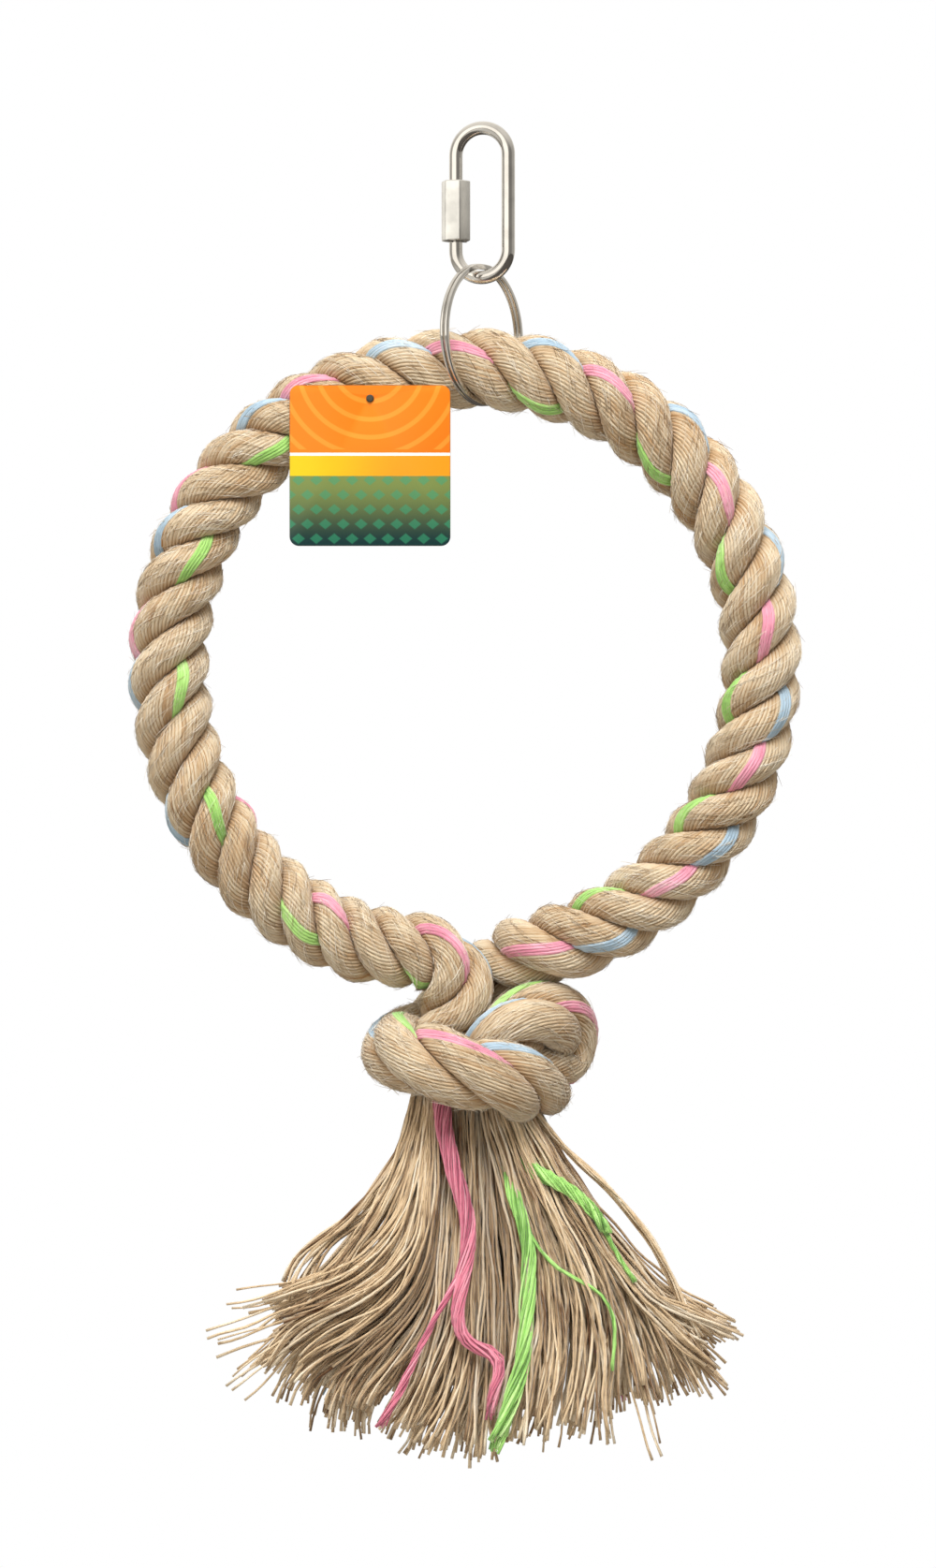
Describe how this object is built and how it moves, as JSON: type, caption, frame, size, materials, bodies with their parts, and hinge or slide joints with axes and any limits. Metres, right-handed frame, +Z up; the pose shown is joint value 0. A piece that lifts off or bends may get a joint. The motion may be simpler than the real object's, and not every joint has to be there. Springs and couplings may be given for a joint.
{
  "type": "parrot_perch_ring",
  "caption": "Jute rope perch ring for a parrot, knotted into a tassel, hung by a split ring and a steel screw link, with a card tag",
  "frame": {"origin": "inside top of the screw link, where a hook bears", "axes": "+Z up, +X to the right as seen from the front, +Y away from the viewer"},
  "size_m": [0.1983, 0.0909, 0.3946],
  "materials": {
    "bright_steel": "polished nickel plate",
    "satin_steel": "satin",
    "plain_steel": "drawn wire",
    "jute": "raw laid fibre",
    "pink_yarn": "dyed jute",
    "green_yarn": "dyed jute",
    "blue_yarn": "dyed jute",
    "printed_card": "coated print",
    "dark_plastic": "moulded"
  },
  "bodies": {
    "link": {"quick_link": "bright_steel"},
    "nut": {"link_nut": "satin_steel"},
    "split_ring": {"split_ring": "bright_steel"},
    "rope_ring": {"strand_pink": "jute", "strand_blue": "jute", "strand_green": "jute", "hoop_wire": "plain_steel", "tassel": "jute", "pink_tail_front": "pink_yarn", "pink_tail_back": "pink_yarn", "green_tail_front": "green_yarn", "green_tail_side": "green_yarn", "blue_tail_left": "blue_yarn", "blue_tail_back": "blue_yarn", "tag_pin": "dark_plastic"},
    "tag": {"tag_card": "printed_card"}
  },
  "joints": [
    {"name": "nut_travel", "type": "slide", "parent": "link", "child": "nut", "axis": [0, 0, 1], "range_m": [0, 0.007]},
    {"name": "split_ring_swing", "type": "hinge", "parent": "link", "child": "split_ring", "pos_m": [0, 0, -0.0427], "axis": [0.9659, -0.2588, 0], "range_deg": [-75, 75]},
    {"name": "rope_ring_swing", "type": "hinge", "parent": "split_ring", "child": "rope_ring", "pos_m": [0, 0, -0.0803], "axis": [0.5446, 0.8387, 0], "range_deg": [-20, 20]},
    {"name": "tag_swing", "type": "hinge", "parent": "rope_ring", "child": "tag", "pos_m": [-0.03323, -0.01135, -0.07995], "axis": [0, 1, 0], "range_deg": [-2, 90]}
  ]
}
